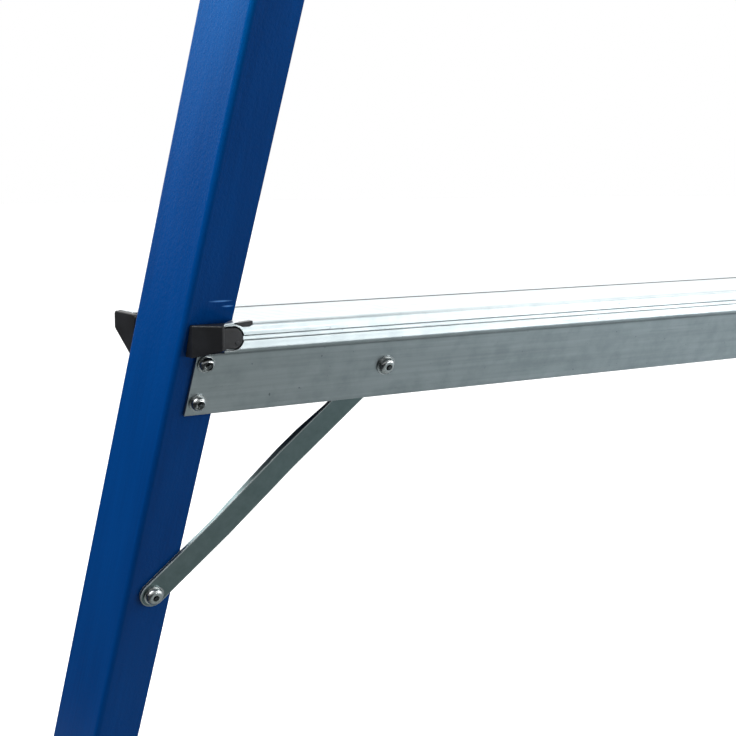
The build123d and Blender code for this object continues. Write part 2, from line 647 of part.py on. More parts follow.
# Knee braces: a strip that starts on the rail's face and ends behind the tread's flange
for side_name, side in SIDES:
    low_end = FRONT.point(side * low_x, low_station, NEAR_FACE)
    high_end = FRONT.point(side * high_x, high_station, NEAR_FACE)
    length = (high_end - low_end).length
    along = (high_end - low_end).normalized()
    flat = Plane(origin=low_end, x_dir=along, z_dir=FRONT.plane.z_dir)
    edge = Plane(origin=low_end, x_dir=along, z_dir=flat.y_dir * -1)
    end = BRACE_WIDTH / 2
    bend_in, bend_out = BRACE_BEND
    behind = [(-end - 1, 0), (bend_in, 0), (bend_out, -BRACE_SHEET), (length + end + 1, -BRACE_SHEET)]
    before = [(x, y + BRACE_SHEET) for x, y in reversed(behind)]
    lip_in, lip_out = BRACE_LIP
    lip_start = [(lip_in, 0), (bend_in, 0), (bend_out, -BRACE_SHEET), (lip_out, -BRACE_SHEET)]
    lip_end = [(lip_out - LIP_RUNOUT, -BRACE_SHEET - LIP_HEIGHT), (bend_out, -BRACE_SHEET - LIP_HEIGHT),
               (lip_in + LIP_RUNOUT, -LIP_HEIGHT)]
    with BuildPart() as brace:
        with BuildSketch(edge):
            with BuildLine():
                Polyline(*behind, *before, close=True)
            make_face()
        extrude(amount=BRACE_WIDTH / 2 + 2, both=True)
        with BuildSketch(flat.offset(-20)):
            with Locations((length / 2, 0)):
                SlotCenterToCenter(length, BRACE_WIDTH)
        extrude(amount=40, mode=Mode.INTERSECT)
        for offset in (BRACE_WIDTH / 2 - LIP_SHEET, -BRACE_WIDTH / 2):
            with BuildSketch(edge.offset(offset)):
                with BuildLine():
                    Polyline(*lip_start, *lip_end, close=True)
                make_face()
            extrude(amount=LIP_SHEET)
        drill(brace_low[side] + brace_high[side])
    finish(brace, f"knee_brace_{side_name}")

write_group("knee_brace_rivets",
            [(rivet(BRACE_HEAD, BRACE_SHEET + RAIL_WALL, BRACE_HOLLOW), brace_low[-1] + brace_low[1]),
             (rivet(BRACE_HEAD, SHEET + BRACE_SHEET, BRACE_HOLLOW), brace_high[-1] + brace_high[1])])


def bracket(label, section, side, y, face, facing, axis_z, ear_x):
    """L-shaped bracket: a base riveted on a rail's flange and an ear that carries a pin."""
    base_out = section.half(y) - 4.0
    with BuildPart() as piece:
        with BuildSketch(section.plane.offset(face)):
            with Locations((side * (ear_x + base_out) / 2, y)):
                RectangleRounded(base_out - ear_x, BRACKET_HEIGHT, 3.0)
        extrude(amount=facing * PLATE)
        with BuildSketch(section.across(side * ear_x, y, axis_z)):
            Circle(EAR)
            with Locations((0, (face - axis_z) / 2)):
                Rectangle(2 * EAR, abs(face - axis_z))
            Circle(PIN / 2 + PIN_FIT, mode=Mode.SUBTRACT)
        extrude(amount=side * PLATE)
        drill(bracket_planes(section, side, y, face, facing))
    finish(piece, label)


def pin(label, section, side, y, axis_z, inner, outer):
    """Headed pin along X between two faces."""
    with BuildPart() as piece:
        with BuildSketch(section.across(side * (inner - PIN_HEAD_HEIGHT), y, axis_z)):
            Circle(PIN_HEAD / 2)
        extrude(amount=side * PIN_HEAD_HEIGHT)
        with BuildSketch(section.across(side * inner, y, axis_z)):
            Circle(PIN / 2)
        extrude(amount=side * (outer - inner))
        with BuildSketch(section.across(side * outer, y, axis_z)):
            Circle(PIN_HEAD / 2)
        extrude(amount=side * PIN_HEAD_HEIGHT)
        chamfer(piece.faces().sort_by(Axis.X)[0].edges(), 0.8)
        chamfer(piece.faces().sort_by(Axis.X)[-1].edges(), 0.8)
    finish(piece, label)


# Apex hinges and deck pivots
front_ear = FRONT.half(0) - RAIL_FLANGE - 2 * PLATE - SIDE_GAP
rear_ear = front_ear + PLATE + SIDE_GAP
deck_ear = DECK_HALF + 3 * SIDE_GAP
front_hinge_planes = []
rear_hinge_planes = []
deck_bracket_planes = []
for side_name, side in SIDES:
    bracket(f"front_hinge_bracket_{side_name}", FRONT, side, 0, NEAR_FACE, 1, HINGE_TO_FRONT, front_ear)
    bracket(f"rear_hinge_bracket_{side_name}", REAR, side, 0, REAR_FRONT_FACE, -1, -HINGE_TO_REAR, rear_ear)
    bracket(f"deck_bracket_{side_name}", FRONT, side, pivot_station, NEAR_FACE, 1, pivot_z, deck_ear)
    pin(f"hinge_pin_{side_name}", FRONT, side, 0, HINGE_TO_FRONT, front_ear, rear_ear + PLATE + SIDE_GAP)
    pin(f"deck_pivot_pin_{side_name}", FRONT, side, pivot_station, pivot_z,
        DECK_HALF - DECK_SIDE - SIDE_GAP, deck_ear + PLATE)
    front_hinge_planes += bracket_planes(FRONT, side, 0, NEAR_FACE, 1)
    rear_hinge_planes += bracket_planes(REAR, side, 0, REAR_FRONT_FACE, -1)
    deck_bracket_planes += bracket_planes(FRONT, side, pivot_station, NEAR_FACE, 1)

write_group("front_hinge_rivets", [(plain_rivet(PLAIN_HEAD, PLATE + RAIL_WALL), front_hinge_planes)])
write_group("rear_hinge_rivets", [(plain_rivet(PLAIN_HEAD, PLATE + REAR_WALL), rear_hinge_planes)])
write_group("deck_bracket_rivets", [(plain_rivet(PLAIN_HEAD, PLATE + RAIL_WALL), deck_bracket_planes)])

# Rear cross bars
rear_bar_planes = []
for name, y in BARS:
    with BuildPart() as bar:
        with BuildSketch(REAR.across(0, y, REAR_BACK_FACE)):
            Rectangle(BAR_HEIGHT, BAR_DEPTH, align=(Align.CENTER, Align.MIN))
            with Locations((0, BAR_WALL)):
                Rectangle(BAR_HEIGHT - 2 * BAR_WALL, BAR_DEPTH, align=(Align.CENTER, Align.MIN),
                          mode=Mode.SUBTRACT)
        extrude(amount=REAR.half(y) - BAR_END, both=True)
        drill(bar_planes(-1, y) + bar_planes(1, y))
    finish(bar, name)
    rear_bar_planes += bar_planes(-1, y) + bar_planes(1, y)
write_group("rear_bar_rivets", [(plain_rivet(PLAIN_HEAD, BAR_WALL + REAR_WALL), rear_bar_planes)])

# Deck: side plates that turn on the pivot pins and hook over the support bar, with planks across
pivot = FRONT.point(0, pivot_station, pivot_z)


def bar_point(up, back):
    """World (Y, Z) of a point measured from the support bar's top front corner."""
    place = REAR.point(0, bar_top + up, REAR_BACK_FACE + back)
    return (place.Y, place.Z)


hook_back = BAR_DEPTH + HOOK_SIDE_GAP
seat_front = bar_point(HOOK_GAP, -HOOK_SIDE_GAP)
seat_back = bar_point(HOOK_GAP, hook_back)
hook_front = bar_point(-HOOK_DROP, hook_back)
hook_tip = bar_point(-HOOK_DROP, hook_back + HOOK_WIDTH)
deck_rear = hook_tip[0]
deck_front = pivot.Y + DECK_EAR
plank_width = (deck_front - deck_rear + PLANK_GAP) / len(PLANKS) - PLANK_GAP
plank_starts = [deck_front - (plank_width + PLANK_GAP) * index for index in range(len(PLANKS))]
side_outline = [(pivot.Y, pivot.Z + DECK_EAR), (deck_rear, deck_flange_top), hook_tip, hook_front, seat_back,
                seat_front, (pivot.Y, pivot.Z - DECK_EAR)]
deck_planes = []
for side_name, side in SIDES:
    rivet_x = side * (DECK_HALF - DECK_SIDE - 11.0)
    planes = []
    for start in plank_starts:
        for place in (start - PLANK_LIP / 2 - 1.0, start - plank_width + PLANK_LIP / 2 + 1.0):
            planes.append(Plane(origin=(rivet_x, place, deck_flange_top - DECK_SIDE), z_dir=(0, 0, -1)))
    deck_planes += planes
    with BuildPart() as plate:
        with BuildSketch(Plane(origin=(side * DECK_HALF, 0, 0), x_dir=(0, 1, 0), z_dir=(1, 0, 0))):
            with BuildLine():
                Polyline(*side_outline, close=True)
            make_face()
            with Locations((pivot.Y, pivot.Z)):
                Circle(DECK_EAR)
                Circle(PIN / 2 + PIN_FIT, mode=Mode.SUBTRACT)
        extrude(amount=-side * DECK_SIDE)
        with BuildSketch(Plane.XY.offset(deck_flange_top)):
            with Locations((side * DECK_HALF, (deck_front + deck_rear) / 2)):
                Rectangle(DECK_FLANGE, deck_front - deck_rear,
                          align=(Align.MAX if side > 0 else Align.MIN, Align.CENTER))
        extrude(amount=-DECK_SIDE)
        drill(planes)
    finish(plate, f"deck_side_{side_name}")

for name, start in zip(PLANKS, plank_starts):
    with BuildPart() as plank:
        plank_origin = (0, start - plank_width / 2, DECK_TOP)
        with BuildSketch(Plane(origin=plank_origin, x_dir=(0, 1, 0), z_dir=(1, 0, 0))):
            Rectangle(plank_width, PLANK_HEIGHT, align=(Align.CENTER, Align.MAX))
            with Locations((0, -PLANK_WALL)):
                Rectangle(plank_width - 2 * PLANK_WALL, PLANK_HEIGHT - 2 * PLANK_WALL,
                          align=(Align.CENTER, Align.MAX), mode=Mode.SUBTRACT)
            with Locations((0, -PLANK_HEIGHT)):
                Rectangle(plank_width - 2 * PLANK_LIP, 3 * PLANK_WALL, mode=Mode.SUBTRACT)
            rib_count = int((plank_width - 12.0) / PLANK_RIB)
            with GridLocations(PLANK_RIB, 1.0, rib_count, 1):
                Rectangle(RIB_GROOVE, 2 * RIB_DEPTH, mode=Mode.SUBTRACT)
        extrude(amount=DECK_HALF, both=True)
        drill(deck_planes)
    finish(plank, f"deck_plank_{name}")
write_group("deck_rivets", [(plain_rivet(PLAIN_HEAD, DECK_SIDE + PLANK_WALL), deck_planes)])

# Tool tray on the front rails, with plugs in the rails
tray_plugs = []
for side_name, side in SIDES:
    with BuildPart() as plug:
        with BuildSketch(FRONT.rail(side, tray_station - TRAY_PLUG)):
            with Locations((RAIL_WALL + TRAY_PLUG_FIT, 0)):
                Rectangle(RAIL_FLANGE - RAIL_WALL - 2 * TRAY_PLUG_FIT,
                          RAIL_DEPTH - 2 * RAIL_WALL - 2 * TRAY_PLUG_FIT, align=(Align.MIN, Align.CENTER))
        extrude(amount=2 * TRAY_PLUG)
        split(bisect_by=Plane.XY.offset(TRAY_FLOOR + TRAY_WALL / 2), keep=Keep.BOTTOM)
        drill(tray_planes[side])
        with Locations(*[plane.offset(-TRAY_BOLT / 2).location for plane in tray_planes[side]]):
            Cylinder(SHANK / 2 + HOLE_FIT, TRAY_BOLT + 0.4, mode=Mode.SUBTRACT)
    tray_plugs.append(plug.part)

with BuildPart() as tray:
    with BuildSketch(Plane.XY.offset(TRAY_FLOOR)):
        with Locations((0, APEX_Y + TRAY_SHIFT)):
            RectangleRounded(tray_width, TRAY_DEPTH, TRAY_CORNER)
    extrude(amount=TRAY_HEIGHT)
    with BuildSketch(Plane.XY.offset(TRAY_FLOOR + TRAY_WALL)):
        with Locations((0, APEX_Y + TRAY_SHIFT)):
            RectangleRounded(tray_width - 2 * TRAY_WALL, TRAY_DEPTH - 2 * TRAY_WALL, TRAY_CORNER - TRAY_WALL)
    extrude(amount=TRAY_HEIGHT, mode=Mode.SUBTRACT)
    for plug in tray_plugs:
        add(plug)
finish(tray, "tool_tray")

with BuildPart() as bolt:
    with BuildSketch(Plane.XY):
        RegularPolygon(6.0, 6)
    extrude(amount=4.0)
    with BuildSketch(Plane.XY):
        Circle(SHANK / 2)
    extrude(amount=-TRAY_BOLT)
write_group("tray_bolts", [(bolt.part, tray_planes[-1] + tray_planes[1])])
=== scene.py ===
# %% [markdown]
# # A folding platform stepladder, seen at the left end of its bottom step
#
# The object is a fibreglass stepladder with a work deck. The photograph shows one corner of it: a
# blue channel rail, an aluminium tread with black end caps, hollow rivets and a plated steel knee
# brace. The exact solids come from the CAD frame. Blender gives each of them its real finish and
# adds the fine forms that the eye looks for, and then sets the camera and the studio.

# %% Load the frame
import json
from math import cos, radians, sin

import bpy
from mathutils import Euler, Matrix, Vector


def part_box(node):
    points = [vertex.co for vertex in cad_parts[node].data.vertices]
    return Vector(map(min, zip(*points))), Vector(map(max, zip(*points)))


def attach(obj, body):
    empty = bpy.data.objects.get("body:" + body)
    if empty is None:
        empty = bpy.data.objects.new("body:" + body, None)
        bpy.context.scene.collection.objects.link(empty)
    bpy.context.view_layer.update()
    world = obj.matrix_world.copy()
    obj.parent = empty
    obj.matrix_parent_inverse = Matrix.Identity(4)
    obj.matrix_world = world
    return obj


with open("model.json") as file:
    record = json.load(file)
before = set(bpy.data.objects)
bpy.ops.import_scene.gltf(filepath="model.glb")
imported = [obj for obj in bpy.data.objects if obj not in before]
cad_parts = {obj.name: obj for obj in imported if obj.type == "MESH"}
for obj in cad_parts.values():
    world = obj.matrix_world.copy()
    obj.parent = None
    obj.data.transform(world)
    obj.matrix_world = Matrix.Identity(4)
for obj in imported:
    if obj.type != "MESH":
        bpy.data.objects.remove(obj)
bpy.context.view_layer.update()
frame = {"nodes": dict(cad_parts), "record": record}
scene = bpy.context.scene
bpy.ops.object.select_all(action="DESELECT")

# %% [markdown]
# ## The camera
#
# The camera stands where the photographer stood: behind the ladder, left of it, and a little
# above the bottom step. Its place was solved from the straight edges of the rail and the tread,
# so it is given from one corner that is easy to find: where the rail's outer face, its near face
# and the level of the tread's top meet. A lens of 67 mm on a 36 mm sensor gives the photograph's
# mild perspective.

# %% Camera
FRONT_LEAN = radians(19.2)
REAR_LEAN = radians(16.0)
SPLAY = radians(4.25)
STEP_TOP = 0.356
STEP_HALF = 0.3575
NEAR_OVERHANG = 0.0134
CAMERA_FROM_CORNER = Vector((-0.3519, -0.7307, 0.0863))
LOOK_DOWN_DEGREES = 7.99
LOOK_RIGHT_DEGREES = 33.4

tread_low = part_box("bottom_step_tread")[0]
step_corner = Vector((-STEP_HALF, tread_low[1] + NEAR_OVERHANG, STEP_TOP))
camera_data = bpy.data.cameras.new("photo_camera")
camera_data.sensor_width = 36.0
camera_data.lens = 67.19
camera_data.clip_start = 0.01
camera = bpy.data.objects.new("photo_camera", camera_data)
camera.location = step_corner + CAMERA_FROM_CORNER
camera.rotation_euler = Euler((radians(90.0 - LOOK_DOWN_DEGREES), 0.0,
                               radians(-LOOK_RIGHT_DEGREES)))
scene.collection.objects.link(camera)
scene.camera = camera
print("Camera at", [round(value, 4) for value in camera.location])

# %% [markdown]
# ## Colour and node helpers
#
# Colours are written as the hex values that a paint program shows, and one function turns them to
# linear light. Another function adds a shader node with its settings, its fixed socket values and
# its links. A few more stand on these two for what every finish needs: noise with cells of a real
# size, a value moved to another range, two colours mixed, a bump. So each material below reads as
# a list of what happens to the surface.

# %% Colour and single nodes
MM = 0.001
NOISE_RANGE = (0.3, 0.7)  # where nearly all values of a noise lie


def linear(code):
    """An sRGB hex colour as linear RGBA."""
    parts = [int(code[i:i + 2], 16) / 255.0 for i in (1, 3, 5)]
    light = [v / 12.92 if v <= 0.04045 else ((v + 0.055) / 1.055) ** 2.4 for v in parts]
    return tuple(light) + (1.0,)


def put(tree, kind, links=(), values=(), **settings):
    """Adds one node: settings are its fields, values and links are (socket, value or source)."""
    made = tree.nodes.new(kind)
    for name, value in settings.items():
        setattr(made, name, value)
    for socket, value in values:
        made.inputs[socket].default_value = value
    for socket, source in links:
        tree.links.new(source, made.inputs[socket])
    return made


def start(name):
    """A new material, its emptied tree and the place on the piece in Object coordinates."""
    material = bpy.data.materials.new(name)
    material.use_nodes = True
    tree = material.node_tree
    tree.nodes.clear()
    return material, tree, put(tree, "ShaderNodeTexCoord").outputs["Object"]


def cells(tree, place, size, turn=(0.0, 0.0, 0.0), middle=(0.0, 0.0, 0.0)):
    """A place counted in cells of a size in metres, from a middle, along turned axes."""
    return put(tree, "ShaderNodeMapping", [("Vector", place)],
               [("Location", middle), ("Rotation", turn), ("Scale", size)],
               vector_type="TEXTURE").outputs[0]


def noise(tree, place, cell=1.0, detail=2.0, roughness=0.5):
    """Noise with cells of one size: in metres, or 1 where the place is counted in cells."""
    return put(tree, "ShaderNodeTexNoise", [("Vector", place)],
               [("Scale", 1.0 / cell), ("Detail", detail), ("Roughness", roughness)]).outputs["Fac"]


def remap(tree, source, old, new, **settings):
    """A value moved from an old range to a new one and held at its ends."""
    return put(tree, "ShaderNodeMapRange", [("Value", source)],
               [("From Min", old[0]), ("From Max", old[1]), ("To Min", new[0]), ("To Max", new[1])],
               **settings).outputs[0]


def blend(tree, amount, first, second):
    """Two colours mixed by an amount; each is a hex code or the output of a node."""
    mixed = put(tree, "ShaderNodeMix", [(0, amount)], data_type="RGBA")
    for socket, colour in ((6, first), (7, second)):
        if isinstance(colour, str):
            mixed.inputs[socket].default_value = linear(colour)
        else:
            tree.links.new(colour, mixed.inputs[socket])
    return mixed.outputs[2]


def bump(tree, height, strength, distance, under=None):
    """A normal roughened by a height, on top of the normal under it."""
    links = [("Height", height)]
    if under is not None:
        links.append(("Normal", under))
    return put(tree, "ShaderNodeBump", links,
               [("Strength", strength), ("Distance", distance)]).outputs[0]


# %% [markdown]
# Four more helpers are about the pieces. A worn edge could be painted by hand; here the Bevel node
# finds it, because its softened normal leaves the true one only near an edge. A single mark is a
# soft ellipsoid at a place. The last two find the CAD nodes of one material slot and hand a
# finished material to them.

# %% Edges, marks and dressing


def edges(tree, radius):
    """A softened normal, and a mask that is 1 on sharp edges, where it leaves the true normal."""
    soft = put(tree, "ShaderNodeBevel", values=[("Radius", radius)], samples=6)
    true = put(tree, "ShaderNodeNewGeometry")
    agree = put(tree, "ShaderNodeVectorMath",
                [(0, soft.outputs[0]), (1, true.outputs["Normal"])], operation="DOT_PRODUCT")
    return soft.outputs[0], remap(tree, agree.outputs["Value"], (0.97, 0.75), (0.0, 1.0))


def spot(tree, place, middle, reach, strength):
    """A mask that falls from a strength at a middle to 0 at its reach along x, y and z."""
    away = put(tree, "ShaderNodeVectorMath", [(0, cells(tree, place, reach, middle=middle))],
               operation="LENGTH")
    return remap(tree, away.outputs["Value"], (0.3, 1.0), (strength, 0.0))


def in_slot(slot):
    """The CAD nodes whose record names one material slot."""
    return [entry["node"] for entry in frame["record"]["subparts"]
            if entry["material_slot"] == slot]


def dress(material, names):
    """Gives CAD nodes one material."""
    for name in names:
        mesh = frame["nodes"][name].data
        mesh.materials.clear()
        mesh.materials.append(material)
    print(material.name, "on", len(names), "nodes")


# %% [markdown]
# ## Rails: blue pultruded fibreglass
#
# A rail is pulled through a heated die, with straight glass rovings inside and a thin veil of
# random fibres at the skin, wetted with blue polyester resin. So the colour has faint streaks
# along the rail, and the gloss is broken by the veil into a fine grain. A rail that leans needs
# its pattern to lean with it: the Mapping node in Texture mode turns the Object coordinates until
# their z axis runs up the rail, and its scale is then the size of one cell of the pattern. Each
# rail has its own turn, and so its own material. A real roving is about 1 mm wide; it is drawn at
# 1.6 mm so that it shows in the picture. Just above the tread, the near left rail gets two painted
# reflections of the tread's edge: flat, soft-edged blobs of lighter blue in its colour, placed
# from the same corner as the camera.

# %% Fibreglass
ROVING = (1.6 * MM, 1.6 * MM, 90.0 * MM)
VEIL = (1.7 * MM, 1.7 * MM, 2.4 * MM)
RESIN_CLOUD = (28.0 * MM, 28.0 * MM, 130.0 * MM)
PAINTED_REFLECTION_STRENGTH = 0.8


def pultruded_fibreglass(name, lean, splay, painted_reflections=()):
    """Blue fibreglass whose fibres run up a rail that leans about X and splays about Y.

    Each painted reflection is the middle and the half size of a pale mark, in metres."""
    material, tree, place = start(name)
    turn = (lean, splay, 0.0)
    streak = noise(tree, cells(tree, place, ROVING, turn), detail=3.0, roughness=0.55)
    mottle = noise(tree, cells(tree, place, VEIL, turn), roughness=0.6)
    tone = noise(tree, cells(tree, place, RESIN_CLOUD, turn))
    resin = blend(tree, streak, "#00336d", "#003d80")
    paint = blend(tree, remap(tree, tone, NOISE_RANGE, (0.0, 0.35)), resin, "#024890")
    for middle, reach in painted_reflections:
        # Painted reflection: a pale blue blob mixed into the colour, in place of the tread mirrored
        # in the rail.
        paint = blend(tree, spot(tree, place, middle, reach, PAINTED_REFLECTION_STRENGTH), paint, "#5f9ae2")
    skin = put(tree, "ShaderNodeBsdfPrincipled",
               [("Base Color", paint),
                ("Roughness", remap(tree, mottle, NOISE_RANGE, (0.17, 0.27))),
                ("Normal", bump(tree, mottle, 1.0, 0.14 * MM))],
               [("IOR", 1.5), ("Specular IOR Level", 0.1)])
    put(tree, "ShaderNodeOutputMaterial", [("Surface", skin.outputs[0])])
    return material


# Two painted reflections of the tread's edge, on the near left rail just above the tread.
tread_painted_reflections = [
    (step_corner + Vector((22.3, -4.3, 12.3)) * MM, (8.6 * MM, 10.0 * MM, 0.7 * MM)),
    (step_corner + Vector((27.6, -3.1, 9.0)) * MM, (4.4 * MM, 10.0 * MM, 0.7 * MM)),
]
for part, lean in (("front", FRONT_LEAN), ("rear", -REAR_LEAN)):
    for side, splay in (("left", SPLAY), ("right", -SPLAY)):
        painted_reflections = tread_painted_reflections if (part, side) == ("front", "left") else ()
        dress(pultruded_fibreglass(f"pultruded_fibreglass_{part}_{side}", lean, splay, painted_reflections),
              [f"{part}_rail_{side}"])

# %% [markdown]
# ## Treads, planks and bars: mill-finish extruded aluminium
#
# An extrusion leaves the press with fine die lines along its length and a thin dull oxide that
# comes in cloudy patches. It is not polished or anodised, so its reflections are soft. The die
# lines are noise cells of 0.8 mm by 140 mm; real ones are finer than 0.3 mm and would not show.
# The same noise steers the tone and the roughness and gives a very low bump. Handling leaves soft
# stains of about 16 mm and a few dark pits, and it rubs the sharp edges bright. On the treads shade
# is painted as a dark line in the wide groove near the far nose and as the shadow of the
# overhanging bead below it; this painted shade is dull grey and no metal, so it stays dark even at
# a flat angle, where all metal turns white. Most of these pieces run across the ladder, along X;
# the deck's two side plates run along Y, so the cells are turned for them.

# %% Aluminium
LINE_LENGTH, LINE_WIDTH = 140.0, 0.8  # in millimetres
ACROSS = (LINE_LENGTH, LINE_WIDTH, LINE_WIDTH)
ALONG = (LINE_WIDTH, LINE_LENGTH, LINE_WIDTH)


def mill_aluminium(name, cell, painted_shade_lines=()):
    """Extruded aluminium with die lines whose cell size is given along x, y and z in millimetres.

    Each line of painted shade is its middle, its half size in metres and its strength."""
    material, tree, place = start(name)
    die_line = noise(tree, cells(tree, place, tuple(size * MM for size in cell)),
                     detail=4.0, roughness=0.6)
    patches = cells(tree, place, tuple((8.0 * size) ** 0.7 * MM for size in cell))
    oxide = remap(tree, noise(tree, patches, detail=3.0), (0.4, 0.7), (0.0, 0.5))
    handled = remap(tree, noise(tree, place, 16.0 * MM, 4.0, 0.6), (0.42, 0.68), (0.0, 0.42))
    pits = remap(tree, noise(tree, place, 2.4 * MM), (0.735, 0.77), (0.0, 0.6))
    soft, rubbed = edges(tree, 0.5 * MM)
    metal = blend(tree, die_line, "#9aa2a4", "#b2b9bb")
    for mask, colour in ((oxide, "#8e9698"), (handled, "#828d8f"), (pits, "#4a5154"),
                         (rubbed, "#d3d7d8")):
        metal = blend(tree, mask, metal, colour)
    surface = put(tree, "ShaderNodeBsdfPrincipled",
                  [("Base Color", metal),
                   ("Roughness", remap(tree, die_line, (0.25, 0.75), (0.26, 0.42))),
                   ("Normal", bump(tree, die_line, 0.25, 0.03 * MM, soft))], [("Metallic", 1.0)])
    # Painted shade: along each line a dull grey diffuse sheet is mixed over the metal.
    for middle, reach, strength in painted_shade_lines:
        painted_shade = put(tree, "ShaderNodeBsdfDiffuse", values=[("Color", linear("#3b3e3f"))])
        surface = put(tree, "ShaderNodeMixShader",
                      [(0, spot(tree, place, middle, reach, strength)),
                       (1, surface.outputs[0]), (2, painted_shade.outputs[0])])
    put(tree, "ShaderNodeOutputMaterial", [("Surface", surface.outputs[0])])
    return material


# %% Painted shade on the treads, and all aluminium
FAR_GROOVE = 72.5 * MM
UNDER_BEAD = 20.3 * MM
WHOLE_LENGTH = 100.0
GROOVE_REACH = (WHOLE_LENGTH, 5.0 * MM, 1.6 * MM)
BEAD_REACH = (WHOLE_LENGTH, 40.0 * MM, 1.8 * MM)

treads = ["bottom_step_tread", "middle_step_tread"]
deck_sides = ["deck_side_left", "deck_side_right"]
painted_shade_lines = []
for name in treads:
    low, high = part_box(name)
    rail_face = low[1] + NEAR_OVERHANG
    # Painted shade in the wide groove near the far nose.
    painted_shade_lines.append(((0.0, rail_face + FAR_GROOVE, high[2]), GROOVE_REACH, 0.9))
    # Painted shadow of the overhanging bead, on the flange below it.
    painted_shade_lines.append(((0.0, rail_face, high[2] - UNDER_BEAD), BEAD_REACH, 0.6))
dress(mill_aluminium("mill_aluminium_treads", ACROSS, painted_shade_lines), treads)
dress(mill_aluminium("mill_aluminium_along", ALONG), deck_sides)
dress(mill_aluminium("mill_aluminium_across", ACROSS),
      [name for name in in_slot("mill_aluminium") if name not in treads + deck_sides])

# %% [markdown]
# ## Caps, boots and tray: moulded black polypropylene
#
# These are injection mouldings. The mould was spark-eroded, which leaves a fine even grain and a
# satin gloss, and handling rubs it a little greyer in places and on the edges. The real grain is
# about 0.3 mm; it is drawn at 0.7 mm. The base stays a very dark grey, because true black would
# lose every edge.

# %% Black plastic


def moulded_polypropylene(name):
    """Black plastic with a spark-eroded grain, rubbed patches of 14 mm and paler edges."""
    material, tree, place = start(name)
    grain = noise(tree, place, 0.7 * MM, roughness=0.6)
    worn = remap(tree, noise(tree, place, 14.0 * MM, 3.0), (0.45, 0.75), (0.0, 0.8))
    soft, rubbed = edges(tree, 0.6 * MM)
    black = blend(tree, rubbed, blend(tree, worn, "#101114", "#1f2125"), "#3c3f43")
    skin = put(tree, "ShaderNodeBsdfPrincipled",
               [("Base Color", black),
                ("Roughness", remap(tree, grain, NOISE_RANGE, (0.36, 0.56))),
                ("Normal", bump(tree, grain, 0.4, 0.05 * MM, soft))],
               [("IOR", 1.49), ("Specular IOR Level", 0.32)])
    put(tree, "ShaderNodeOutputMaterial", [("Surface", skin.outputs[0])])
    return material


dress(moulded_polypropylene("moulded_black_polypropylene"), in_slot("black_plastic"))

# %% [markdown]
# ## Rivets, pins and bolts: bright plated steel
#
# Rivets are tumbled after plating, so they are bright with small soft dents, and the setting tool
# leaves them a little duller in patches. One noise with cells of 2.5 mm steers the tone, the
# roughness and the dents, so that the three agree.

# %% Rivet steel


def plated_rivet_steel(name):
    """Bright plating with tumbled dents."""
    material, tree, place = start(name)
    tumble = noise(tree, place, 2.5 * MM, 3.0, 0.55)
    steel = put(tree, "ShaderNodeBsdfPrincipled",
                [("Base Color", blend(tree, tumble, "#8f9495", "#d2d5d4")),
                 ("Roughness", remap(tree, tumble, NOISE_RANGE, (0.16, 0.32))),
                 ("Normal", bump(tree, tumble, 0.2, 0.08 * MM))], [("Metallic", 1.0)])
    put(tree, "ShaderNodeOutputMaterial", [("Surface", steel.outputs[0])])
    return material


dress(plated_rivet_steel("bright_plated_steel"), in_slot("rivet_steel"))

# %% [markdown]
# ## Broken pull stems in the hollow rivets
#
# A hollow rivet is set by pulling a steel stem through it until the stem snaps. What is left is a
# short dark pin deep in the hole, with a ragged, slanted break, and a narrow ring of shadow round
# it. The CAD rivets have the hole but not the pin. A pin could be turned as a spun profile; a
# cylinder is quicker: its top is inset and drawn up to a neck, the neck's end is pulled off
# square, and the rim is bevelled. One pin is modelled at the origin and copied into every hole.
# The holes are found on the rivets themselves: each loose shell of a rivet group is one rivet,
# its axis is square to the front section, and its widest ring, the collar, tells which end is the
# head.

# %% Model one stem
STEM_RADIUS = 1.25 * MM
STEM_LENGTH = 1.4 * MM
NECK_INSET = 0.25 * MM
NECK_RISE = 0.55 * MM
NECK_SHARE = 0.72
BREAK_SLANT = radians(24.0)
TEAR_INSET = 0.22 * MM
TEAR_PULL = (0.12 * MM, 0.08 * MM, 0.22 * MM)
RIM_WIDTH = 0.1 * MM

neck_top = (0.0, 0.0, STEM_LENGTH + NECK_RISE)
bpy.ops.mesh.primitive_cylinder_add(vertices=20, radius=STEM_RADIUS, depth=STEM_LENGTH,
                                    location=(0.0, 0.0, STEM_LENGTH / 2.0))
stem = bpy.context.object
stem.name = "pull_stem"
bpy.ops.object.transform_apply(location=True, rotation=True, scale=True)
bpy.ops.object.mode_set(mode="EDIT")
bpy.ops.mesh.select_mode(type="FACE")
bpy.ops.mesh.select_all(action="DESELECT")
bpy.ops.object.mode_set(mode="OBJECT")
for face in stem.data.polygons:
    face.select = face.normal.z > 0.9
bpy.ops.object.mode_set(mode="EDIT")
bpy.ops.mesh.inset(thickness=NECK_INSET)
bpy.ops.mesh.extrude_region_move(TRANSFORM_OT_translate={"value": (0.0, 0.0, NECK_RISE)})
bpy.ops.transform.resize(value=(NECK_SHARE, NECK_SHARE, 1.0), center_override=neck_top)
bpy.ops.transform.rotate(value=BREAK_SLANT, orient_axis="X", center_override=neck_top)
bpy.ops.mesh.inset(thickness=TEAR_INSET)
bpy.ops.transform.translate(value=TEAR_PULL)
bpy.ops.mesh.select_all(action="SELECT")
bpy.ops.mesh.normals_make_consistent(inside=False)
bpy.ops.object.mode_set(mode="OBJECT")
rim = stem.modifiers.new("rim", "BEVEL")
rim.width = RIM_WIDTH
rim.segments = 2
rim.limit_method = "ANGLE"
rim.angle_limit = radians(40.0)
bpy.ops.object.modifier_apply(modifier="rim")
bpy.ops.object.shade_smooth_by_angle(angle=radians(35.0))
print("One stem:", len(stem.data.polygons), "faces")

# %% Stem steel


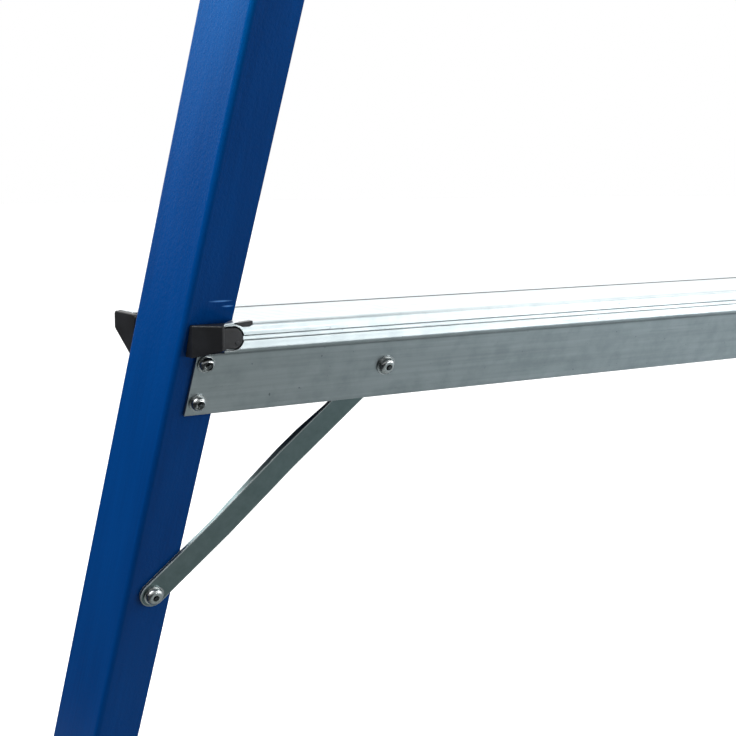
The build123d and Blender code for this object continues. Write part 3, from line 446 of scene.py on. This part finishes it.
def snapped_steel(name):
    """Dark steel with a torn grain of 0.6 mm."""
    material, tree, place = start(name)
    tear = noise(tree, place, 0.6 * MM, 3.0)
    steel = put(tree, "ShaderNodeBsdfPrincipled",
                [("Base Color", blend(tree, tear, "#2c2f30", "#6d7173")),
                 ("Normal", bump(tree, tear, 0.6, 0.15 * MM))],
                [("Metallic", 1.0), ("Roughness", 0.34)])
    put(tree, "ShaderNodeOutputMaterial", [("Surface", steel.outputs[0])])
    return material


stem.data.materials.append(snapped_steel("snapped_stem_steel"))
print("The stem is", stem.data.materials[0].name)

# %% Find the holes
HEAD_HEIGHT = 4.5 * MM
HOLE_FLOOR = 0.4 * MM
COLLAR_SHARE = 0.97


def shells(node):
    """Vertex places of each loose shell of a mesh."""
    mesh = frame["nodes"][node].data
    owner = list(range(len(mesh.vertices)))

    def root(index):
        while owner[index] != index:
            owner[index] = owner[owner[index]]
            index = owner[index]
        return index

    for edge in mesh.edges:
        owner[root(edge.vertices[0])] = root(edge.vertices[1])
    groups = {}
    for vertex in mesh.vertices:
        groups.setdefault(root(vertex.index), []).append(vertex.co.copy())
    return list(groups.values())


def holes(node):
    """For every rivet of a group: the middle of its hole's floor and the way out of the hole."""
    wide = Vector((1.0, 0.0, 0.0))
    up = Vector((0.0, -sin(FRONT_LEAN), cos(FRONT_LEAN)))
    out = Vector((0.0, -cos(FRONT_LEAN), -sin(FRONT_LEAN)))
    found = []
    for points in shells(node):
        spans = [[point.dot(axis) for point in points] for axis in (wide, up, out)]
        middle = [(min(span) + max(span)) / 2.0 for span in spans]
        widest = COLLAR_SHARE * (max(spans[0]) - min(spans[0])) / 2.0
        collar = [deep for across, high, deep in zip(*spans)
                  if (across - middle[0]) ** 2 + (high - middle[1]) ** 2 > widest ** 2]
        head = 1.0 if sum(collar) / len(collar) > middle[2] else -1.0
        top = max(spans[2]) if head > 0.0 else min(spans[2])
        hole_floor = top - head * (HEAD_HEIGHT - HOLE_FLOOR)
        found.append((wide * middle[0] + up * middle[1] + out * hole_floor, out * head))
    return found


# %% Copy the stem into the holes
for node in ("bottom_step_rivets", "middle_step_rivets", "knee_brace_rivets"):
    copies = []
    for base, facing in holes(node):
        pin = stem.copy()
        pin.data = stem.data.copy()
        turned = facing.to_track_quat("Z", "X").to_matrix().to_4x4()
        pin.matrix_world = Matrix.Translation(base) @ turned
        scene.collection.objects.link(pin)
        copies.append(pin)
    bpy.ops.object.select_all(action="DESELECT")
    for pin in copies:
        pin.select_set(True)
    bpy.context.view_layer.objects.active = copies[0]
    bpy.ops.object.transform_apply(location=True, rotation=True, scale=True)
    bpy.ops.object.join()
    pins = bpy.context.object
    pins.name = node.replace("rivets", "rivet_stems")
    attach(pins, "front_section")
    bpy.ops.object.select_all(action="DESELECT")
    print(pins.name, "with", len(copies), "stems")
bpy.data.objects.remove(stem)

# %% [markdown]
# ## Braces and brackets: zinc-plated sheet steel
#
# Pressed from rolled sheet and zinc plated in a barrel, these pieces have a grey-green cast from
# the passivation, cloudy patches of about 9 mm and fine rub marks from the barrel. Dark and
# bright cloud tones are mixed, and the darker patches are also the rougher ones. The cut edges
# are burred and rubbed pale, and they scatter light more than the flat sheet does, so they are
# made less metallic.

# %% Zinc plate


def zinc_plated_steel(name):
    """Cloudy zinc with rub marks of 1.2 mm and pale burred edges."""
    material, tree, place = start(name)
    cloud = noise(tree, place, 9.0 * MM, 4.0, 0.6)
    marks = noise(tree, place, 1.2 * MM)
    soft = edges(tree, 0.7 * MM)[0]
    burred = edges(tree, 2.0 * MM)[1]
    zinc = blend(tree, burred, blend(tree, cloud, "#5a6b6b", "#7c8b8c"), "#cfd6d6")
    steel = put(tree, "ShaderNodeBsdfPrincipled",
                [("Base Color", zinc),
                 ("Metallic", remap(tree, burred, (0.0, 1.0), (1.0, 0.3))),
                 ("Roughness", remap(tree, cloud, NOISE_RANGE, (0.42, 0.28))),
                 ("Normal", bump(tree, marks, 0.2, 0.04 * MM, soft))])
    put(tree, "ShaderNodeOutputMaterial", [("Surface", steel.outputs[0])])
    return material


dress(zinc_plated_steel("zinc_plated_steel"), in_slot("plated_steel"))

# %% [markdown]
# ## Pads: black rubber
#
# The pads are pressed from black rubber. They are matt, with a bloom of grey where they have
# picked up dust. One noise with cells of 6 mm steers colour, roughness and a low bump, because
# dust lies where the rubber is rough.

# %% Rubber


def pressed_rubber(name):
    """Matt black rubber with a grey bloom."""
    material, tree, place = start(name)
    bloom = noise(tree, place, 6.0 * MM, 5.0, 0.65)
    rubber = put(tree, "ShaderNodeBsdfPrincipled",
                 [("Base Color", blend(tree, bloom, "#0f0f10", "#2b2b2b")),
                  ("Roughness", remap(tree, bloom, NOISE_RANGE, (0.72, 0.92))),
                  ("Normal", bump(tree, bloom, 0.3, 0.1 * MM))],
                 [("IOR", 1.5), ("Specular IOR Level", 0.3)])
    put(tree, "ShaderNodeOutputMaterial", [("Surface", rubber.outputs[0])])
    return material


dress(pressed_rubber("pressed_black_rubber"), in_slot("black_rubber"))

# %% [markdown]
# ## Floor and studio
#
# The photograph is cut out on pure white. So the camera sees a floor of white paper with a little
# glow of its own, and a white world behind it. Metal and gloss show what surrounds them, so every
# other ray meets a darker studio: mid grey paper that gets paler to the right, as the tread's
# flange does, and dark cloth on the left, which keeps the rail's blue deep. The world is a light
# tent, brightest to the right and far side, where the tread's top mirrors it. A key light stands
# on the left, and a wide cove light and a long front light serve the bead and the rivets. Three
# small lamps finish the corner: one with a grid, a little green, brightens the upper part of the
# rail; a card of light below the middle step keeps the bottom bead from mirroring that step's
# dark underside; and a card in the mouth of the rail's channel is what the lower half of the knee
# brace's lip mirrors.

# %% Floor
FLOOR_SIZE = 40.0
CLOTH_TO_PAPER = (-0.5, -0.3)  # along X, in metres
GREY_TO_PALER = (-0.1, 0.4)
WHITE = (1.0, 1.0, 1.0, 1.0)

bpy.ops.mesh.primitive_plane_add(size=FLOOR_SIZE, location=(0.0, 0.0, 0.0))
floor = bpy.context.object
floor.name = "floor"
bpy.ops.object.select_all(action="DESELECT")


def studio_paper(name):
    """White paper for the camera; for every other ray, dark cloth at left and grey paper."""
    material, tree, place = start(name)
    lit = put(tree, "ShaderNodeBsdfDiffuse", values=[("Color", linear("#f4f4f4"))])
    glow = put(tree, "ShaderNodeEmission", values=[("Color", WHITE), ("Strength", 0.3)])
    pale = put(tree, "ShaderNodeAddShader", [(0, lit.outputs[0]), (1, glow.outputs[0])])
    across = put(tree, "ShaderNodeSeparateXYZ", [(0, place)]).outputs["X"]
    grey = blend(tree, remap(tree, across, GREY_TO_PALER, (0.0, 1.0)), "#868b8b", "#a3abaf")
    studio = blend(tree, remap(tree, across, CLOTH_TO_PAPER, (0.0, 1.0)), "#26282a", grey)
    dim = put(tree, "ShaderNodeBsdfDiffuse", [("Color", studio)])
    seen = put(tree, "ShaderNodeLightPath").outputs["Is Camera Ray"]
    sheet = put(tree, "ShaderNodeMixShader",
                [(0, seen), (1, dim.outputs[0]), (2, pale.outputs[0])])
    put(tree, "ShaderNodeOutputMaterial", [("Surface", sheet.outputs[0])])
    return material


floor.data.materials.append(studio_paper("studio_paper"))
print("Floor of", FLOOR_SIZE, "m")

# %% World
TENT_SIDE = (0.8, 0.6, 0.0)
smooth = {"interpolation_type": "SMOOTHSTEP"}

world = bpy.data.worlds.new("studio")
scene.world = world
world.use_nodes = True
sky = world.node_tree
sky.nodes.clear()
way = put(sky, "ShaderNodeTexCoord").outputs["Generated"]
toward = put(sky, "ShaderNodeVectorMath", [(0, way)], [(1, TENT_SIDE)], operation="DOT_PRODUCT")
tent = remap(sky, toward.outputs["Value"], (0.1, 0.65), (0.0, 1.6), **smooth)
rise = put(sky, "ShaderNodeSeparateXYZ", [(0, way)]).outputs["Z"]
roof = remap(sky, rise, (0.18, 0.6), (1.0, 1.2), **smooth)
wall = remap(sky, rise, (0.02, 0.22), (0.0, 0.6), **smooth)
shine = put(sky, "ShaderNodeMath", [(0, tent), (1, roof), (2, wall)], operation="MULTIPLY_ADD")
around = put(sky, "ShaderNodeBackground", [("Strength", shine.outputs[0])], [("Color", WHITE)])
behind = put(sky, "ShaderNodeBackground", values=[("Color", WHITE), ("Strength", 1.0)])
seen_sky = put(sky, "ShaderNodeLightPath").outputs["Is Camera Ray"]
dome = put(sky, "ShaderNodeMixShader",
           [(0, seen_sky), (1, around.outputs[0]), (2, behind.outputs[0])])
put(sky, "ShaderNodeOutputWorld", [("Surface", dome.outputs[0])])
print("World", world.name)

# %% Lamps


def softbox(name, place, aim, size, power, spread=180.0, tint="#ffffff"):
    """A rectangular area light that looks at a point; a grid narrows its spread, in degrees."""
    lamp = bpy.data.lights.new(name, "AREA")
    lamp.shape = "RECTANGLE"
    lamp.size, lamp.size_y = size
    lamp.energy = power
    lamp.spread = radians(spread)
    lamp.color = linear(tint)[:3]
    holder = bpy.data.objects.new(name, lamp)
    holder.location = place
    holder.rotation_euler = (Vector(aim) - Vector(place)).to_track_quat("-Z", "Y").to_euler()
    holder.visible_camera = False
    scene.collection.objects.link(holder)
    print(name, "at", place)


softbox("key_light", place=(-1.1, 0.3, 1.2), aim=(-0.36, 0.3, 0.5), size=(0.8, 0.8), power=18.0)
softbox("cove_light", place=(1.1, -0.75, 1.5), aim=(0.1, 0.3, 0.35), size=(2.2, 1.6), power=22.0)
softbox("front_light", place=(1.5, -2.0, 0.25), aim=(0.0, 0.35, 0.35), size=(2.4, 0.5), power=30.0)
softbox("rail_light", place=(-0.62, 0.2, 0.78), aim=(-0.35, 0.27, 0.62), size=(0.1, 0.1), power=0.2,
        spread=50.0, tint="#b8ffc4")
softbox("step_card", place=(0.0, 0.275, 0.562), aim=(0.0, 0.275, 0.0), size=(0.62, 0.1), power=0.45)
softbox("brace_card", place=(-0.337, 0.4015, 0.252), aim=(-0.3142, 0.3763, 0.2227),
        size=(0.03, 0.055), power=0.018)
scene.view_settings.view_transform = "Standard"
